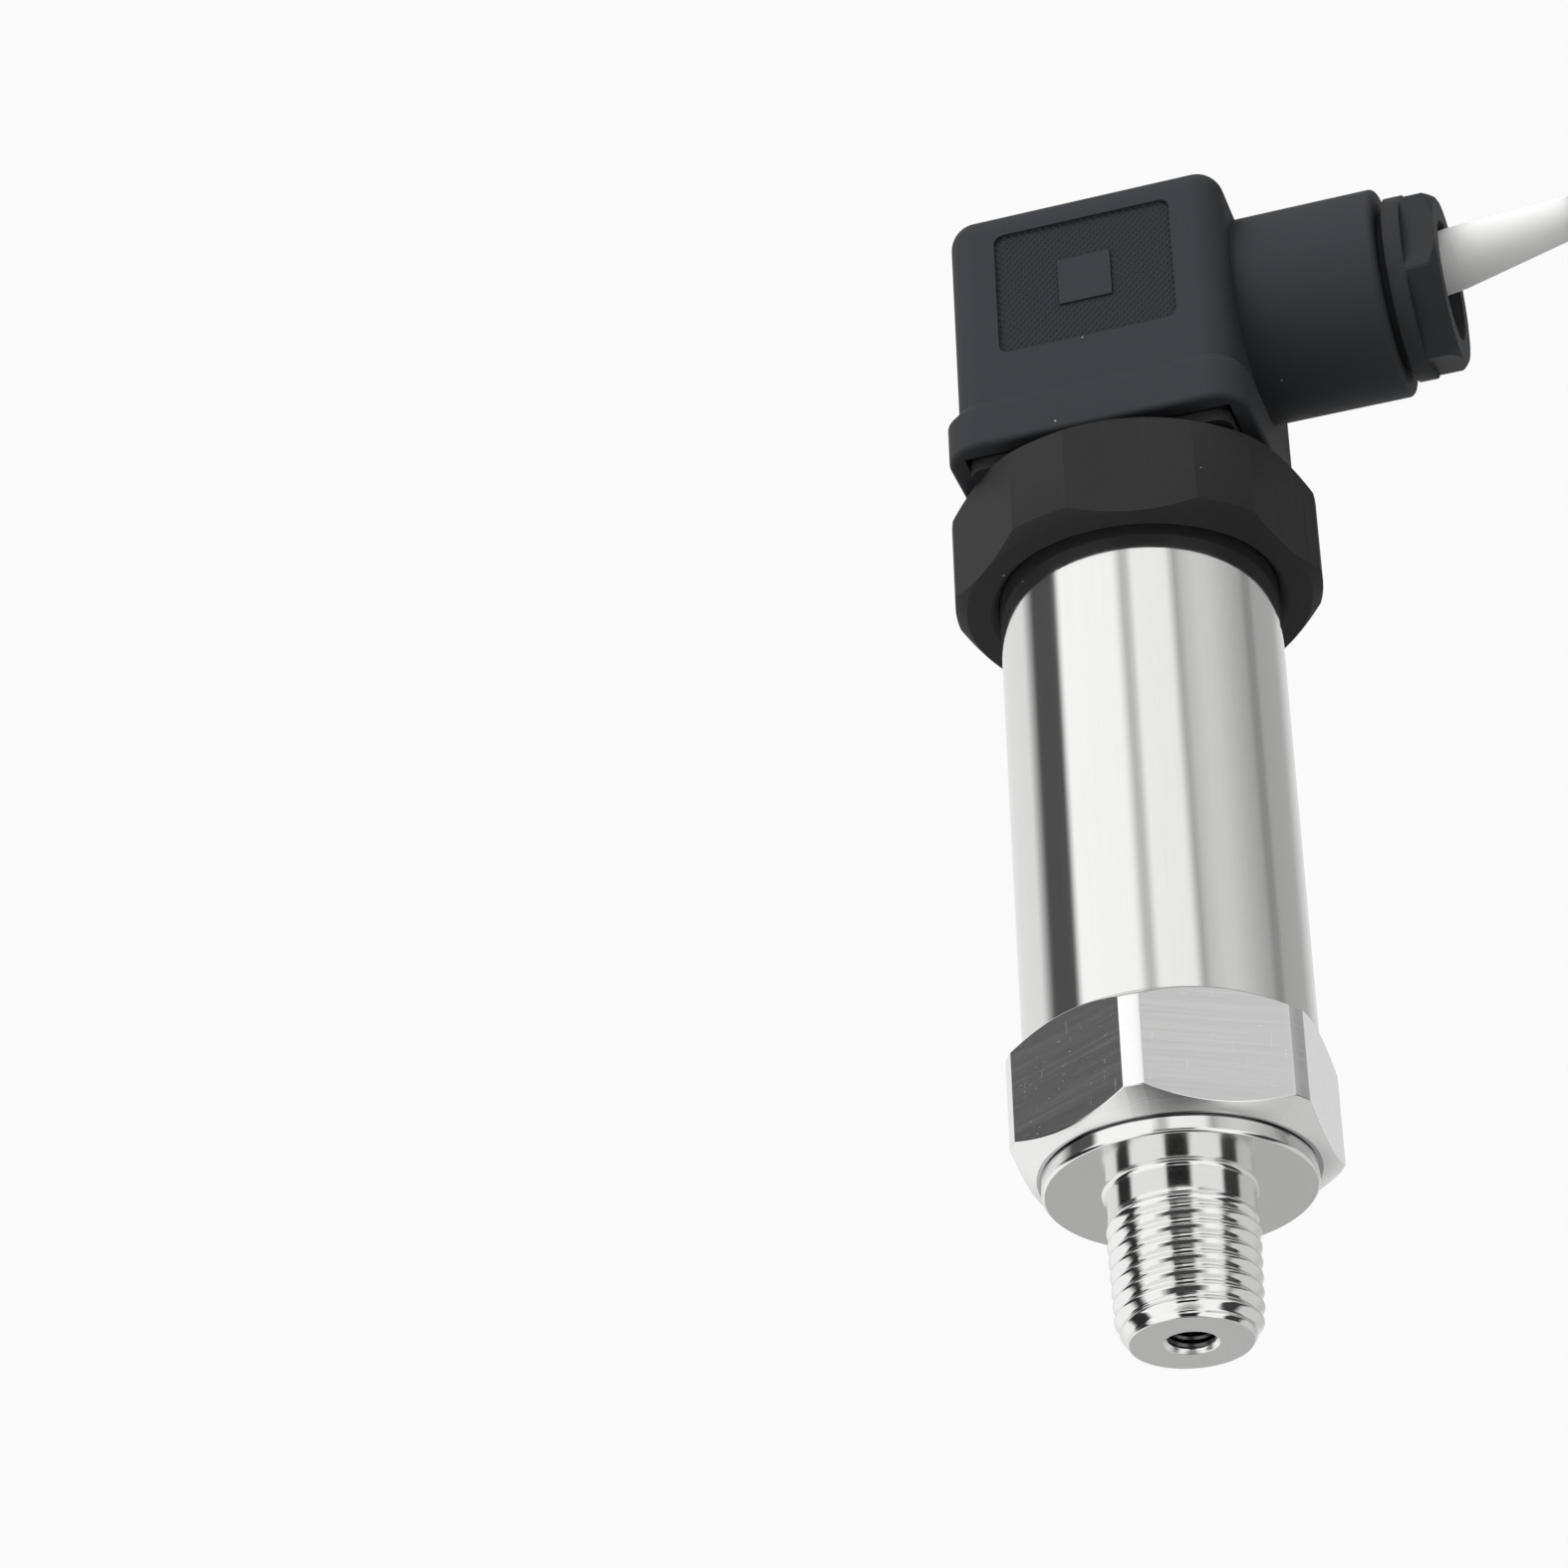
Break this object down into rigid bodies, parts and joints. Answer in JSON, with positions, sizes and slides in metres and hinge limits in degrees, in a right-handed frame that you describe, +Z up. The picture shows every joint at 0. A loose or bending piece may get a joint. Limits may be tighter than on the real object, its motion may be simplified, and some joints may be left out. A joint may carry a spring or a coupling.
{
  "type": "pressure transmitter",
  "caption": "Pressure transmitter: steel body with tapered process thread and spanner hexagon, black collar, angled plug with cable gland and a white cable wound in a small coil.",
  "frame": {"origin": "centre of the flange's lower face, on the body's axis, where the process thread begins", "axes": "+Z up the body to the plug, +X along the cable gland, -Y the side with the label panel that the picture shows"},
  "size_m": [0.1214, 0.0346, 0.1167],
  "materials": {
    "turned_steel": "machined stainless steel, turned faces bright, flats brushed",
    "tube_steel": "polished stainless tube",
    "collar_plastic": "matte black glass-filled polyamide",
    "plug_plastic": "satin charcoal polyamide",
    "nut_plastic": "satin black polyamide",
    "block_plastic": "dark grey moulded plastic",
    "seal_rubber": "matte black nitrile rubber",
    "contact_metal": "tinned brass",
    "insert_brass": "turned brass",
    "screw_steel": "zinc-plated steel",
    "board_green": "green solder mask",
    "chip_black": "black moulded package",
    "capacitor_case": "aluminium can",
    "carrier_plastic": "natural polyamide",
    "cable_white": "smooth white sheath",
    "tie_black": "black nylon",
    "core_red": "red core insulation",
    "core_black": "black core insulation"
  },
  "bodies": {
    "root": {"process_connection": "turned_steel", "housing_tube": "tube_steel", "sensor_capsule": "turned_steel", "sensor_diaphragm": "turned_steel", "sensor_seal": "seal_rubber", "clamp_ring": "turned_steel", "sensor_pins": "contact_metal", "board_carrier": "carrier_plastic", "circuit_board": "board_green", "board_chip": "chip_black", "board_capacitors": "capacitor_case", "board_lead_1": "core_red", "board_lead_2": "core_black", "board_lead_3": "core_black", "base_seal": "seal_rubber", "connector_base": "collar_plastic", "base_insert": "insert_brass", "contact_pin_1": "contact_metal", "contact_pin_2": "contact_metal", "contact_pin_3": "contact_metal", "earth_pin": "contact_metal", "flat_gasket": "seal_rubber", "plug_housing": "plug_plastic", "terminal_block": "block_plastic", "socket_contact_1": "contact_metal", "socket_contact_2": "contact_metal", "socket_contact_3": "contact_metal", "earth_contact": "contact_metal", "terminal_screws": "screw_steel", "gland_grommet": "seal_rubber", "cable_tail": "cable_white", "inner_core_1": "core_red", "inner_core_2": "core_black", "cable_sleeve": "cable_white", "cable": "cable_white", "cable_coil": "cable_white", "cable_tie": "tie_black", "cable_end": "cable_white", "free_core_1": "core_red", "free_core_2": "core_black", "core_ferrules": "contact_metal"},
    "screw_seal_ring": {"screw_seal": "seal_rubber"},
    "fixing_screw": {"fixing_screw": "screw_steel"},
    "gland_washer": {"gland_washer": "carrier_plastic"},
    "gland_nut": {"gland_nut": "nut_plastic"}
  },
  "joints": [
    {"name": "fixing_screw_rise", "type": "slide", "parent": "root", "child": "screw_seal_ring", "axis": [0, 0, 1], "range_m": [0, 0.004]},
    {"name": "fixing_screw_turn", "type": "hinge", "parent": "screw_seal_ring", "child": "fixing_screw", "pos_m": [0, 0, 0.1], "axis": [0, 0, 1], "range_deg": [0, 2880]},
    {"name": "gland_washer_slide", "type": "slide", "parent": "root", "child": "gland_washer", "axis": [1, 0, 0], "range_m": [0, 0.00282]},
    {"name": "gland_nut_turn", "type": "hinge", "parent": "gland_washer", "child": "gland_nut", "pos_m": [0.03, 0, 0.0914], "axis": [1, 0, 0], "range_deg": [0, 720]}
  ],
  "couplings": [
    {"joint": "fixing_screw_turn", "follows": "fixing_screw_rise", "rad_per_m": 12566},
    {"joint": "gland_nut_turn", "follows": "gland_washer_slide", "rad_per_m": 4453}
  ]
}
